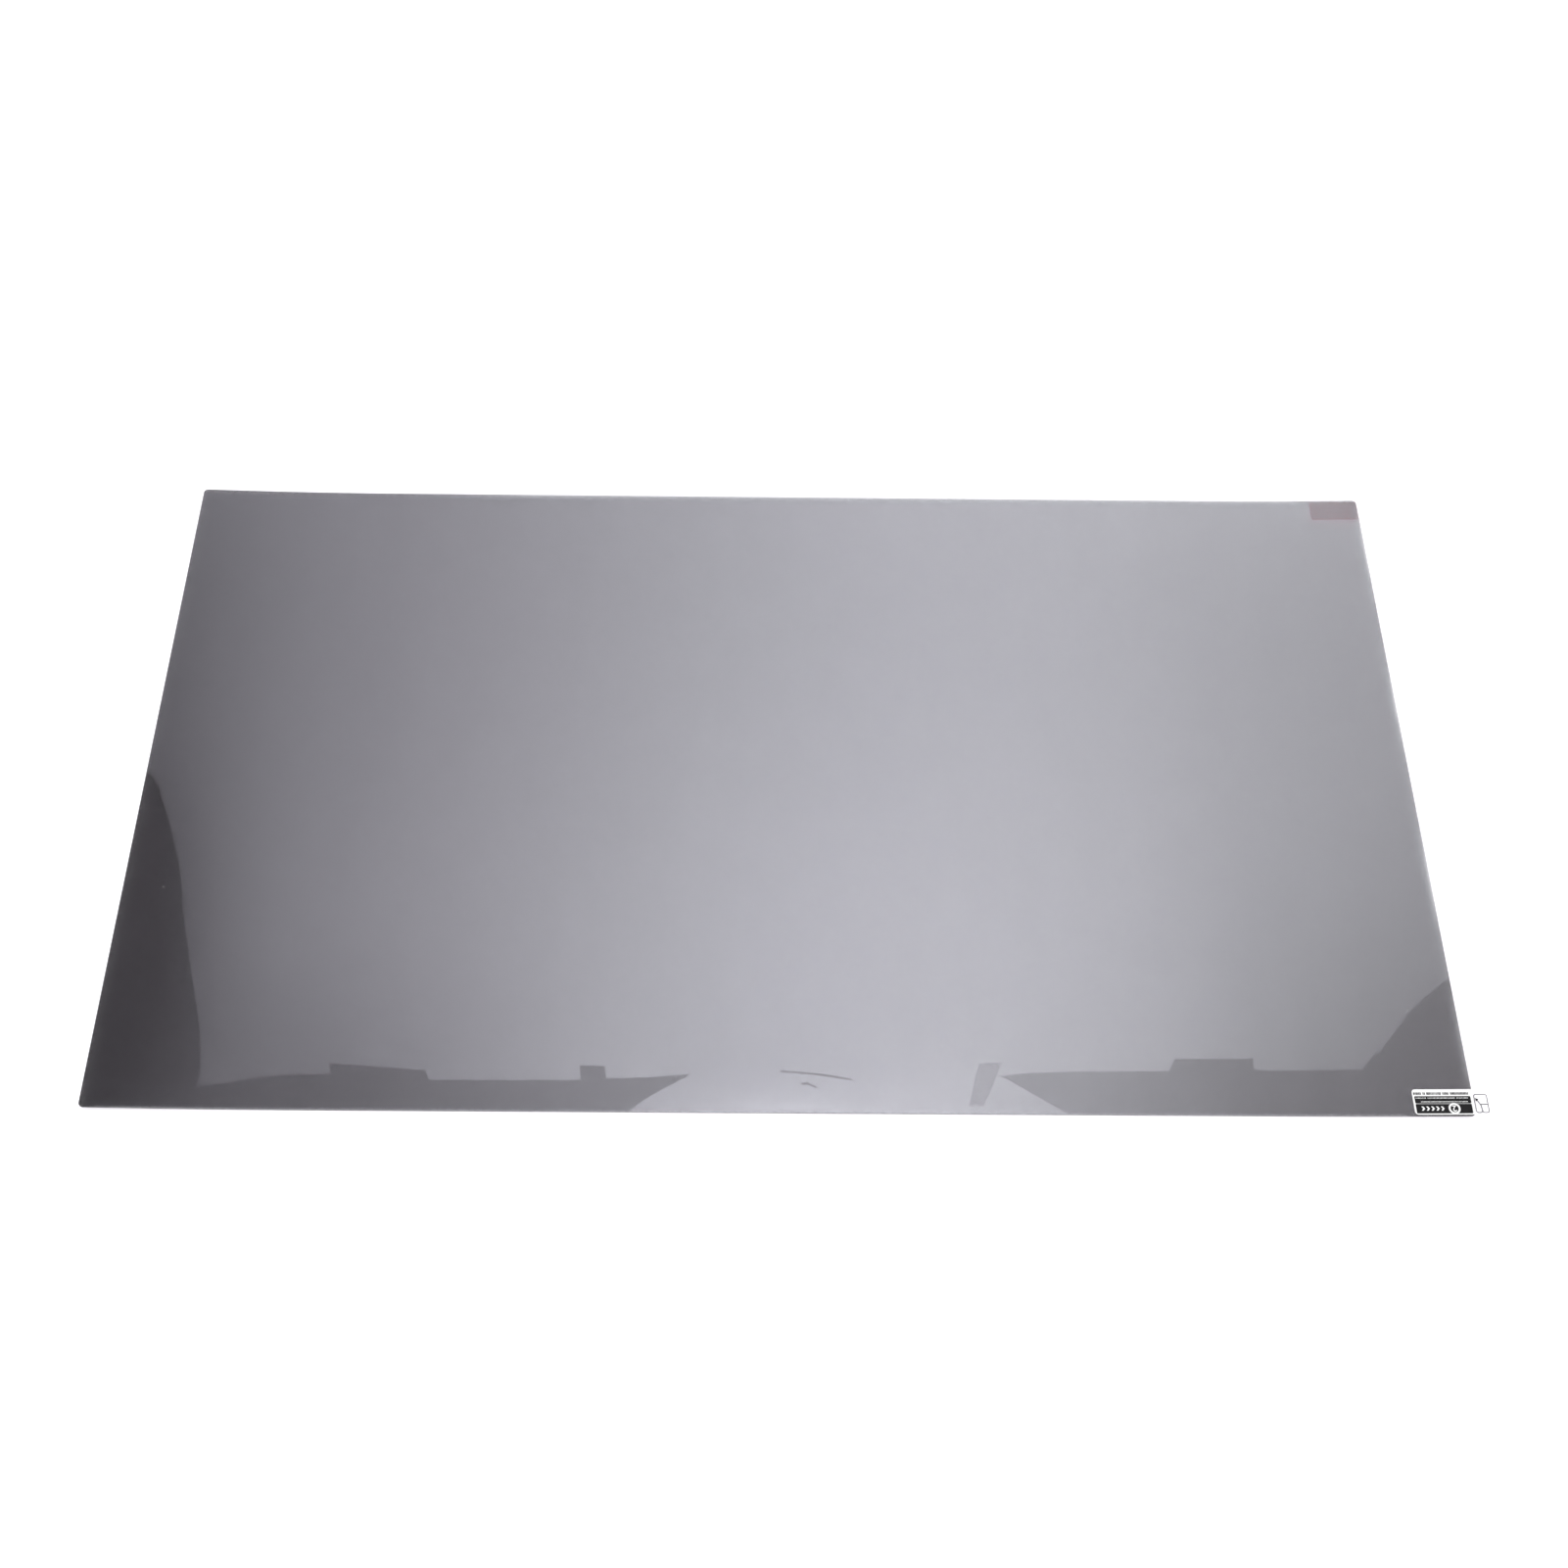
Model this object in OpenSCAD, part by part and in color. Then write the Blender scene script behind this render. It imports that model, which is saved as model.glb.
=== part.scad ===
// Monitor privacy filter for a 24 inch wide screen, lying face up on a table.
// A dark louvre sheet carries a clear protective film on each side. Each film has a
// pull tab stuck to it at the right-hand edge: a printed label that stops where the
// sheet stops, and a clear grip that reaches past it. The ends of the sheet curl up.
// X runs along the long side, Y up the short side and +Z out of the viewer's side.
// The origin is in the middle of the sheet, on the face that goes against the screen.

/* [Sheet] */
// Long side of the filter
sheet_w = 531; // [400:1:700]
// Short side of the filter
sheet_h = 299; // [150:1:420]
// Thickness of the louvre sheet
sheet_t = 0.55; // [0.3:0.05:1.2]
// Radius of the four die-cut corners
corner_r = 1.8; // [0.5:0.1:6]

/* [Protective films] */
// Thickness of the film on the viewer's side
front_film_t = 0.1; // [0.05:0.01:0.25]
// Thickness of the film on the screen side
back_film_t = 0.1; // [0.05:0.01:0.25]

/* [Curl of the two ends] */
// Length of the left end that curls up off the table
left_curl_len = 90; // [50:5:150]
// Height of the sheet's underside at the left edge
left_curl_rise = 1.8; // [0.5:0.1:6]
// Length of the right end that curls up off the table
right_curl_len = 80; // [65:5:150]
// Height of the sheet's underside at the right edge
right_curl_rise = 1.3; // [0.9:0.1:6]
// Number of flat facets that make up each curl
curl_facets = 12; // [8:1:16]

/* [Pull tabs] */
// Length of a tab, label and clear grip together
tab_len = 30.4; // [26:0.1:40]
// Height of a tab along the sheet's short side
tab_h = 10.3; // [6:0.1:20]
// Thickness of a tab
tab_t = 0.1; // [0.05:0.01:0.25]
// Corner radius at a tab's label end
label_r = 1.3; // [0.5:0.1:2.5]
// Corner radius at a tab's clear grip end
grip_r = 1.8; // [0.5:0.1:2.8]
// Length of the front tab's label, from its end to the sheet's edge
front_label_len = 23.1; // [18:0.1:25]
// Length of the back tab's label, from its end to the sheet's edge
back_label_len = 21.7; // [18:0.1:25]
// Gap between the front tab and the sheet's lower edge
front_tab_inset = 0.5; // [0.2:0.1:60]
// Gap between the back tab and the sheet's upper edge
back_tab_inset = 0.3; // [0.2:0.1:60]

/* [Hidden] */

// Roundness of the small corners
corner_fn = 48;

// Long edges of the sheet and the tips of the two grips
left_x = -sheet_w / 2;
right_x = sheet_w / 2;
front_tab_x = right_x - front_label_len;
back_tab_x = right_x - back_label_len;
grip_tip_x = max(front_tab_x, back_tab_x) + tab_len;

// Lower edge of each tab
front_tab_y = -sheet_h / 2 + front_tab_inset;
back_tab_y = sheet_h / 2 - back_tab_inset - tab_h;

// Height of each layer's underside above the table, in the flat middle
back_tab_z = -tab_t;
back_film_z = 0;
sheet_z = back_film_z + back_film_t;
front_film_z = sheet_z + sheet_t;
front_tab_z = front_film_z + front_film_t;

// Where the flat middle ends
left_curl_x = left_x + left_curl_len;
right_curl_x = right_x - right_curl_len;

// Facet edges, outwards from the flat middle and on past the tip of the grips
left_facet = left_curl_len / curl_facets;
right_facet = right_curl_len / curl_facets;
facets_to_tip = ceil((grip_tip_x - right_curl_x) / right_facet);
stations = concat(
    [for (i = [curl_facets : -1 : 0]) left_curl_x - i * left_facet],
    [for (i = [0 : facets_to_tip]) right_curl_x + i * right_facet]
);

// Height of the curled underside at x: zero in the middle, a parabola at each end
function curl_rise(x) =
    x < left_curl_x ? left_curl_rise * pow((left_curl_x - x) / left_curl_len, 2) :
    x > right_curl_x ? right_curl_rise * pow((x - right_curl_x) / right_curl_len, 2) : 0;

// One layer seen from its long edge, from its underside to its top
module curled_section(z_low, thickness) {
    last = len(stations) - 1;
    polygon(concat(
        [for (i = [0 : last]) [stations[i], z_low + curl_rise(stations[i])]],
        [for (i = [last : -1 : 0]) [stations[i], z_low + thickness + curl_rise(stations[i])]]
    ));
}

// A layer cut from the curled section by the outline given as children
module curled_layer(z_low, thickness) {
    reach = sheet_h + 2;
    column_low = -1;
    column_high = max(left_curl_rise, 2 * right_curl_rise) + front_tab_z + tab_t + 1;
    intersection() {
        rotate([90, 0, 0])
            translate([0, 0, -reach / 2])
                linear_extrude(reach)
                    curled_section(z_low, thickness);
        translate([0, 0, column_low])
            linear_extrude(column_high - column_low)
                children();
    }
}

// Rectangle from its lower left corner, with one radius for each end
module rounded_outline(size, left_r, right_r) {
    translate([left_r, 0])
        square([size[0] - left_r - right_r, size[1]]);
    translate([0, left_r])
        square([left_r, size[1] - 2 * left_r]);
    translate([size[0] - right_r, right_r])
        square([right_r, size[1] - 2 * right_r]);
    for (y = [left_r, size[1] - left_r])
        translate([left_r, y])
            circle(left_r, $fn = corner_fn);
    for (y = [right_r, size[1] - right_r])
        translate([size[0] - right_r, y])
            circle(right_r, $fn = corner_fn);
}

module sheet_outline() {
    translate([left_x, -sheet_h / 2])
        rounded_outline([sheet_w, sheet_h], corner_r, corner_r);
}

module tab_outline() {
    rounded_outline([tab_len, tab_h], label_r, grip_r);
}

// Dark louvre sheet that narrows the view
module filter_sheet() {
    color("dimgray")
        curled_layer(sheet_z, sheet_t)
            sheet_outline();
}

// Clear film that protects the viewer's side
module front_film() {
    color("lightsteelblue")
        curled_layer(front_film_z, front_film_t)
            sheet_outline();
}

// Clear film that protects the screen side
module back_film() {
    color("lightsteelblue")
        curled_layer(back_film_z, back_film_t)
            sheet_outline();
}

// White tab on top of the front film, at the lower right corner
module front_tab() {
    color("white")
        curled_layer(front_tab_z, tab_t)
            translate([front_tab_x, front_tab_y])
                tab_outline();
}

// Red tab under the back film, at the upper right corner
module back_tab() {
    color("indianred")
        curled_layer(back_tab_z, tab_t)
            translate([back_tab_x, back_tab_y])
                tab_outline();
}

filter_sheet();
front_film();
back_film();
front_tab();
back_tab();
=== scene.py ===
"""Looks of a monitor privacy filter, laid over its CAD model in the same frame, in metres.

A dark louvre sheet lies face up, with a clear film and a pull tab on each side. Each
layer is drawn flat, in millimetres, and one Geometry Nodes tree then bends it to the
curl of the CAD sheet, so that the layers still lie on each other. The gloss mirrors a
soft lamp overhead, and cards in front of that lamp give the dark reflections.
"""

import math

import bmesh
import bpy
from mathutils import Euler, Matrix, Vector


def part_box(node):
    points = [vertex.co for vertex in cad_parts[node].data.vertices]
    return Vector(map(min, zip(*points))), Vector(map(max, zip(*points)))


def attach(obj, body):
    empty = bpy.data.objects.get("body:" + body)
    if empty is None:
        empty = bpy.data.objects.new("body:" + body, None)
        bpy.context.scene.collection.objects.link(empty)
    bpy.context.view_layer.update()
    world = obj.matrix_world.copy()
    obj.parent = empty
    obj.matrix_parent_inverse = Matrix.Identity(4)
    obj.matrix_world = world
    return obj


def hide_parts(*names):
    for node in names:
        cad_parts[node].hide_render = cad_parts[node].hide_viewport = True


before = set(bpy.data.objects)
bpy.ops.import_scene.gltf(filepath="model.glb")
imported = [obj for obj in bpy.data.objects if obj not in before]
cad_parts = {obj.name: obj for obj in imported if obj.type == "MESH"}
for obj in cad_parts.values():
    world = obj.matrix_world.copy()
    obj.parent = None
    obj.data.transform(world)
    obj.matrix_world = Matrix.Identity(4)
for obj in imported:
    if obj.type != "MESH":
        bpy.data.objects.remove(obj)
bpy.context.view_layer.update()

MM = 0.001

# Gap in mm that keeps two layers that touch from sharing one surface
LAYER_GAP = 0.02
# Thickness of one coat of printing ink, and of a tab, in mm
INK = 0.01
TAB_T = 0.1


# Sizes read from the CAD nodes, in mm

def box_mm(node):
    """Lowest and highest corner of a CAD node, in millimetres."""
    low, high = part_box(node)
    return low / MM, high / MM


def read_curl(node):
    """Where the flat middle of a CAD layer ends and how far its two ends rise, in metres."""
    points = [vertex.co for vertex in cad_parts[node].data.vertices]
    bottom = min(point.z for point in points)
    flat = [point.x for point in points if point.z < bottom + 0.001 * MM]
    left_x = min(point.x for point in points)
    right_x = max(point.x for point in points)
    left_z = min(point.z for point in points if point.x < left_x + 0.01 * MM)
    right_z = min(point.z for point in points if point.x > right_x - 0.01 * MM)
    return {
        "Flat From": min(flat),
        "Flat To": max(flat),
        "Left Length": min(flat) - left_x,
        "Left Rise": left_z - bottom,
        "Right Length": right_x - max(flat),
        "Right Rise": right_z - bottom,
    }


CURL = read_curl("back_film")
SHEET_LOW, SHEET_HIGH = box_mm("filter_sheet")
FRONT_TAB_LOW, FRONT_TAB_HIGH = box_mm("front_tab")
BACK_TAB_LOW, BACK_TAB_HIGH = box_mm("back_tab")

# Heights in the flat middle: underside and top of each layer
LEFT_RISE = CURL["Left Rise"] / MM
BACK_FILM_Z = (box_mm("back_film")[0].z, SHEET_LOW.z)
FRONT_FILM_Z = (SHEET_HIGH.z - LEFT_RISE, box_mm("front_film")[1].z - LEFT_RISE)
SHEET_Z = (BACK_FILM_Z[1] + LAYER_GAP, FRONT_FILM_Z[0] - LAYER_GAP)
FRONT_TAB_Z = (FRONT_FILM_Z[1] + LAYER_GAP, FRONT_FILM_Z[1] + TAB_T)
BACK_TAB_Z = (BACK_FILM_Z[0] - TAB_T, BACK_FILM_Z[0] - 2 * LAYER_GAP)
RED_PRINT_Z = (BACK_FILM_Z[0] - 1.5 * LAYER_GAP, BACK_FILM_Z[0] - LAYER_GAP)


def print_z(coat):
    """Underside and top of a coat of ink on the front tab, counted from 0."""
    return (FRONT_TAB_Z[1] + coat * INK, FRONT_TAB_Z[1] + (coat + 1) * INK)


# Corner radii of the sheet, of a tab's label end, of its grip end and of its print, in mm
CORNER_R = 1.8
LABEL_R = 1.3
GRIP_R = 1.8
GROUND_R = 0.5
BAND_R = 0.4

# An edge sharper than this, in degrees, is drawn as a crease
CREASE_ANGLE = 40


# Node helpers

def add(tree, kind, inputs=None, **settings):
    """Adds a node. An input given as a socket is linked, and any other is a value."""
    node = tree.nodes.new(kind)
    for name, value in settings.items():
        setattr(node, name, value)
    for name, value in (inputs or {}).items():
        if isinstance(value, bpy.types.NodeSocket):
            tree.links.new(value, node.inputs[name])
        else:
            node.inputs[name].default_value = value
    return node


def math_node(tree, operation, first, second=0.0, third=0.0, clamp=False):
    """The output of a Math node."""
    values = {0: first, 1: second, 2: third}
    node = add(tree, "ShaderNodeMath", values, operation=operation, use_clamp=clamp)
    return node.outputs[0]


def new_group(kind, name, inputs, outputs):
    """An empty node group with named sockets. Each is (name, socket type, default)."""
    tree = bpy.data.node_groups.new(name, kind)
    for direction, sockets in (("INPUT", inputs), ("OUTPUT", outputs)):
        for label, socket_type, default in sockets:
            socket = tree.interface.new_socket(label, in_out=direction, socket_type=socket_type)
            if default is not None:
                socket.default_value = default
    return tree, tree.nodes.new("NodeGroupInput"), tree.nodes.new("NodeGroupOutput")


FLOAT = "NodeSocketFloat"
VECTOR = "NodeSocketVector"
GEOMETRY = "NodeSocketGeometry"
MATERIAL = "NodeSocketMaterial"
CURL_SOCKETS = [(name, FLOAT, None) for name in CURL]


# Geometry Nodes

def build_curl_group():
    """Lifts flat geometry to the curl: a parabola at each end, and flat in between."""
    tree, given, result = new_group(
        "GeometryNodeTree", "bend_to_curl", [("Geometry", GEOMETRY, None)] + CURL_SOCKETS,
        [("Geometry", GEOMETRY, None)])
    position = add(tree, "GeometryNodeInputPosition")
    x = add(tree, "ShaderNodeSeparateXYZ", {0: position.outputs[0]}).outputs["X"]
    rise = 0.0
    for side, first, second in (
        ("Left", given.outputs["Flat From"], x),
        ("Right", x, given.outputs["Flat To"]),
    ):
        past = math_node(tree, "MAXIMUM", math_node(tree, "SUBTRACT", first, second), 0.0)
        share = math_node(tree, "DIVIDE", past, given.outputs[f"{side} Length"])
        square = math_node(tree, "MULTIPLY", share, share)
        rise = math_node(tree, "MULTIPLY_ADD", square, given.outputs[f"{side} Rise"], rise)
    offset = add(tree, "ShaderNodeCombineXYZ", {"Z": rise}).outputs[0]
    bent = add(tree, "GeometryNodeSetPosition",
               {"Geometry": given.outputs["Geometry"], "Offset": offset})
    tree.links.new(bent.outputs[0], result.inputs["Geometry"])
    return tree


def bend(tree, geometry, given):
    """Places the curl group in a tree, and ends the tree as the export needs it."""
    node = tree.nodes.new("GeometryNodeGroup")
    node.node_tree = curl_group
    tree.links.new(geometry, node.inputs["Geometry"])
    for name in CURL:
        tree.links.new(given.outputs[name], node.inputs[name])
    realized = add(tree, "GeometryNodeRealizeInstances", {0: node.outputs[0]})
    return add(tree, "GeometryNodeSetMaterial",
               {"Geometry": realized.outputs[0], "Material": given.outputs["Material"]})


def build_layer_tree():
    """Bends one flat layer."""
    tree, given, result = new_group(
        "GeometryNodeTree", "curled_layer",
        [("Geometry", GEOMETRY, None), ("Material", MATERIAL, None)] + CURL_SOCKETS,
        [("Geometry", GEOMETRY, None)])
    done = bend(tree, given.outputs["Geometry"], given)
    tree.links.new(done.outputs[0], result.inputs["Geometry"])
    return tree


def build_row_tree():
    """Repeats a small printed mark along a line, with seeded gaps and widths, and bends it."""
    tree, given, result = new_group(
        "GeometryNodeTree", "printed_row",
        [("Geometry", GEOMETRY, None), ("Material", MATERIAL, None),
         ("Count", "NodeSocketInt", 5), ("Start", VECTOR, None), ("Step", VECTOR, None),
         ("Gap Share", FLOAT, 0.0), ("Width Spread", FLOAT, 0.0),
         ("Seed", "NodeSocketInt", 1)] + CURL_SOCKETS,
        [("Geometry", GEOMETRY, None)])
    line = add(tree, "GeometryNodeMeshLine",
               {"Count": given.outputs["Count"], "Start Location": given.outputs["Start"],
                "Offset": given.outputs["Step"]}, mode="OFFSET")
    gap = add(tree, "FunctionNodeRandomValue",
              {"Probability": given.outputs["Gap Share"], "Seed": given.outputs["Seed"]},
              data_type="BOOLEAN")
    kept = add(tree, "GeometryNodeDeleteGeometry",
               {"Geometry": line.outputs[0], "Selection": gap.outputs[3]}, domain="POINT")
    spread = given.outputs["Width Spread"]
    narrow = math_node(tree, "SUBTRACT", 1.0, spread)
    wide = math_node(tree, "ADD", 1.0, spread)
    width = add(tree, "FunctionNodeRandomValue",
                {2: narrow, 3: wide, "Seed": given.outputs["Seed"]}, data_type="FLOAT")
    scale = add(tree, "ShaderNodeCombineXYZ", {"X": width.outputs[1], "Y": 1.0, "Z": 1.0})
    marks = add(tree, "GeometryNodeInstanceOnPoints",
                {"Points": kept.outputs[0], "Instance": given.outputs["Geometry"],
                 "Scale": scale.outputs[0]})
    realized = add(tree, "GeometryNodeRealizeInstances", {0: marks.outputs[0]})
    done = bend(tree, realized.outputs[0], given)
    tree.links.new(done.outputs[0], result.inputs["Geometry"])
    return tree


curl_group = build_curl_group()
layer_tree = build_layer_tree()
row_tree = build_row_tree()


# Shader node groups

def shader_group(name, inputs, outputs):
    """A shader node group with a Vector input before its own."""
    return new_group("ShaderNodeTree", name, [("Vector", VECTOR, None)] + inputs, outputs)


def build_streaks():
    """Fine streaks that run up the short side, as in a slit louvre film."""
    tree, given, result = shader_group(
        "louvre_streaks", [("Streaks per Metre", FLOAT, 300.0), ("Amount", FLOAT, 0.05)],
        [("Value", FLOAT, None)])
    parts = add(tree, "ShaderNodeSeparateXYZ", {0: given.outputs["Vector"]}).outputs
    across = math_node(tree, "MULTIPLY", parts["X"], given.outputs["Streaks per Metre"])
    along = math_node(tree, "MULTIPLY", parts["Y"], 3.0)
    place = add(tree, "ShaderNodeCombineXYZ", {"X": across, "Y": along})
    noise = add(tree, "ShaderNodeTexNoise",
                {"Vector": place.outputs[0], "Scale": 1.0, "Detail": 3.0, "Roughness": 0.6})
    centred = math_node(tree, "SUBTRACT", noise.outputs[0], 0.5)
    value = math_node(tree, "MULTIPLY", centred, given.outputs["Amount"])
    tree.links.new(value, result.inputs["Value"])
    return tree


def build_mottle():
    """Soft cloudy variation round zero."""
    tree, given, result = shader_group(
        "soft_mottle", [("Clouds per Metre", FLOAT, 20.0), ("Amount", FLOAT, 0.1)],
        [("Value", FLOAT, None)])
    noise = add(tree, "ShaderNodeTexNoise",
                {"Vector": given.outputs["Vector"], "Scale": given.outputs["Clouds per Metre"],
                 "Detail": 2.0, "Roughness": 0.5})
    centred = math_node(tree, "SUBTRACT", noise.outputs[0], 0.5)
    value = math_node(tree, "MULTIPLY", centred, given.outputs["Amount"])
    tree.links.new(value, result.inputs["Value"])
    return tree


def build_spot():
    """A round spot that is one at its centre and fades to zero at its radius."""
    tree, given, result = shader_group(
        "round_spot", [("Centre", VECTOR, None), ("Radius", FLOAT, 0.001)],
        [("Mask", FLOAT, None)])
    apart = add(tree, "ShaderNodeVectorMath",
                {0: given.outputs["Vector"], 1: given.outputs["Centre"]}, operation="SUBTRACT")
    flat = add(tree, "ShaderNodeVectorMath", {0: apart.outputs[0], 1: (1.0, 1.0, 0.0)},
               operation="MULTIPLY")
    reach = add(tree, "ShaderNodeVectorMath", {0: flat.outputs[0]}, operation="LENGTH")
    share = math_node(tree, "DIVIDE", reach.outputs["Value"], given.outputs["Radius"])
    mask = add(tree, "ShaderNodeMapRange",
               {"Value": share, "From Min": 1.0, "From Max": 0.0, "To Min": 0.0, "To Max": 1.0},
               interpolation_type="SMOOTHSTEP")
    tree.links.new(mask.outputs[0], result.inputs["Mask"])
    return tree


streak_group = build_streaks()
mottle_group = build_mottle()
spot_group = build_spot()


def place_group(tree, group, vector, values):
    """The first output of a shader group placed in a material."""
    node = tree.nodes.new("ShaderNodeGroup")
    node.node_tree = group
    tree.links.new(vector, node.inputs["Vector"])
    for name, value in values.items():
        node.inputs[name].default_value = value
    return node.outputs[0]


# Materials

def new_material(name, **constants):
    """A material with a Principled shader whose sockets hold the given constants."""
    material = bpy.data.materials.new(name)
    material.use_nodes = True
    tree = material.node_tree
    tree.nodes.clear()
    shader = add(tree, "ShaderNodeBsdfPrincipled")
    for label, value in constants.items():
        shader.inputs[label.replace("_", " ")].default_value = value
    add(tree, "ShaderNodeOutputMaterial", {"Surface": shader.outputs[0]})
    place = add(tree, "ShaderNodeTexCoord").outputs["Object"]
    return material, tree, shader, place


def blend_colour(tree, factor, first, second):
    """A colour between two, by a factor that is clamped to 0 and 1."""
    node = add(tree, "ShaderNodeMix", {0: factor, 6: first, 7: second}, data_type="RGBA")
    return node.outputs[2]


def only_outside(tree, alpha):
    """Alpha on the outer face of a thin sheet only, so that light crosses it once."""
    facing = add(tree, "ShaderNodeNewGeometry").outputs["Backfacing"]
    outer = math_node(tree, "SUBTRACT", 1.0, facing)
    return math_node(tree, "MULTIPLY", alpha, outer, clamp=True)


# Share of the light that the louvre sheet holds back, at its left and right end: from this
# side the slits lean slightly towards the right end, which lets a little more through
SHEET_ALPHA = (0.935, 0.81)
# Two places where the sheet is slightly raised, as (x, y) in mm
SHEET_BUMPS = ((-39, -77), (118, 65))
# Radius and height of each in metres
BUMP_R = 0.008
BUMP_H = 0.000004
# Least roughness of the gloss, what the tone adds at most, and what a cut edge adds
GLOSS_LEAST = 0.006
GLOSS_SPREAD = 0.006
CUT_DULL = 0.45


def louvre_material():
    """Dark louvre film: near black, glossy and a little see-through, with dull cut edges."""
    material, tree, shader, place = new_material("louvre_film", IOR=2.1)
    streaks = place_group(tree, streak_group, place, {"Streaks per Metre": 420, "Amount": 0.02})
    mottle = place_group(tree, mottle_group, place, {"Clouds per Metre": 9, "Amount": 1.0})
    tone = math_node(tree, "ADD", mottle, math_node(tree, "ADD", streaks, 0.5))
    colour = blend_colour(tree, tone, (0.013, 0.012, 0.014, 1), (0.024, 0.021, 0.025, 1))
    tree.links.new(colour, shader.inputs["Base Color"])
    cut = add(tree, "ShaderNodeAttribute", attribute_name="cut").outputs["Fac"]
    roughness = math_node(tree, "MULTIPLY_ADD", tone, GLOSS_SPREAD, GLOSS_LEAST)
    roughness = math_node(tree, "MULTIPLY_ADD", cut, CUT_DULL, roughness)
    tree.links.new(roughness, shader.inputs["Roughness"])
    x = add(tree, "ShaderNodeSeparateXYZ", {0: place}).outputs["X"]
    lean = add(tree, "ShaderNodeMapRange",
               {"Value": x, "From Min": SHEET_LOW.x * MM, "From Max": SHEET_HIGH.x * MM,
                "To Min": SHEET_ALPHA[0], "To Max": SHEET_ALPHA[1]})
    alpha = math_node(tree, "MAXIMUM", math_node(tree, "ADD", lean.outputs[0], streaks), cut)
    tree.links.new(only_outside(tree, alpha), shader.inputs["Alpha"])
    height = place_group(tree, mottle_group, place, {"Clouds per Metre": 14, "Amount": 0.000012})
    for bump_x, bump_y in SHEET_BUMPS:
        bump = place_group(tree, spot_group, place,
                           {"Centre": (bump_x * MM, bump_y * MM, 0), "Radius": BUMP_R})
        height = math_node(tree, "MULTIPLY_ADD", bump, BUMP_H, height)
    normal = add(tree, "ShaderNodeBump", {"Height": height, "Strength": 1.0, "Distance": 1.0})
    tree.links.new(normal.outputs[0], shader.inputs["Normal"])
    return material


# Share of light that a clear film holds back, what a full lift of its rim adds as a painted
# highlight, and that of dust
FILM_ALPHA = 0.004
RIM_HIGHLIGHT_ALPHA = 0.6
SPECK_ALPHA = 0.85
# Mean roughness of a clear film
FILM_ROUGHNESS = 0.05
# Specks of dust on the front film: (x, y) in mm, radius in mm, and 1 for white or 0 for dark
FILM_SPECKS = ((-116.5, 45.8, 0.8, 0.0), (-249.4, -55.6, 0.4, 0.8), (246.4, -106.1, 0.4, 0.8))


def film_material(name, specks):
    """Clear protective film: it hardly shows, but where its rim lifts a painted highlight makes it
    whitish and less clear.
    """
    material, tree, shader, place = new_material(name, IOR=1.49)
    lift = add(tree, "ShaderNodeAttribute", attribute_name="lift").outputs["Fac"]
    haze = place_group(tree, mottle_group, place, {"Clouds per Metre": 30, "Amount": 0.004})
    flat_alpha = math_node(tree, "ADD", haze, FILM_ALPHA)
    # Painted highlight: where the rim lifts, the film turns whitish and less clear
    alpha = math_node(tree, "MULTIPLY_ADD", lift, RIM_HIGHLIGHT_ALPHA, flat_alpha)
    colour = blend_colour(tree, lift, (0.5, 0.52, 0.56, 1), (0.92, 0.92, 0.95, 1))
    for x, y, radius, tone in specks:
        mask = place_group(tree, spot_group, place,
                           {"Centre": (x * MM, y * MM, 0), "Radius": radius * MM})
        colour = blend_colour(tree, mask, colour, (tone, tone, tone, 1))
        dust = math_node(tree, "MULTIPLY", mask, SPECK_ALPHA)
        alpha = math_node(tree, "MAXIMUM", alpha, dust)
    tree.links.new(colour, shader.inputs["Base Color"])
    tree.links.new(only_outside(tree, alpha), shader.inputs["Alpha"])
    roughness = math_node(tree, "ADD", haze, FILM_ROUGHNESS)
    tree.links.new(roughness, shader.inputs["Roughness"])
    return material


# Share of light that the clear part of a tab holds back, and its roughness
TAB_ALPHA = 0.09
TAB_ROUGHNESS = 0.14


def tab_film_material():
    """Clear film of the pull tabs, a little hazier than the films on the sheet."""
    material, tree, shader, place = new_material("clear_tab_film", IOR=1.5)
    haze = place_group(tree, mottle_group, place, {"Clouds per Metre": 400, "Amount": 0.06})
    alpha = math_node(tree, "ADD", haze, TAB_ALPHA)
    tree.links.new(only_outside(tree, alpha), shader.inputs["Alpha"])
    tone = math_node(tree, "ADD", haze, 0.5)
    colour = blend_colour(tree, tone, (0.90, 0.90, 0.92, 1), (0.95, 0.95, 0.96, 1))
    tree.links.new(colour, shader.inputs["Base Color"])
    roughness = math_node(tree, "ADD", haze, TAB_ROUGHNESS)
    tree.links.new(roughness, shader.inputs["Roughness"])
    return material


def ink_material(name, dark, light, roughness):
    """Printing ink with a slightly uneven tone and a fine grain."""
    material, tree, shader, place = new_material(name, IOR=1.45, Specular_IOR_Level=0.08)
    clouds = place_group(tree, mottle_group, place, {"Clouds per Metre": 350, "Amount": 1.2})
    grain = place_group(tree, mottle_group, place, {"Clouds per Metre": 6000, "Amount": 1.0})
    tone = math_node(tree, "ADD", clouds, math_node(tree, "MULTIPLY_ADD", grain, 0.4, 0.5))
    tree.links.new(blend_colour(tree, tone, (*dark, 1), (*light, 1)), shader.inputs["Base Color"])
    sheen = math_node(tree, "MULTIPLY_ADD", grain, 0.1, roughness)
    tree.links.new(sheen, shader.inputs["Roughness"])
    bump = add(tree, "ShaderNodeBump", {"Height": grain, "Strength": 0.25, "Distance": 0.00001})
    tree.links.new(bump.outputs[0], shader.inputs["Normal"])
    return material


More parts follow.
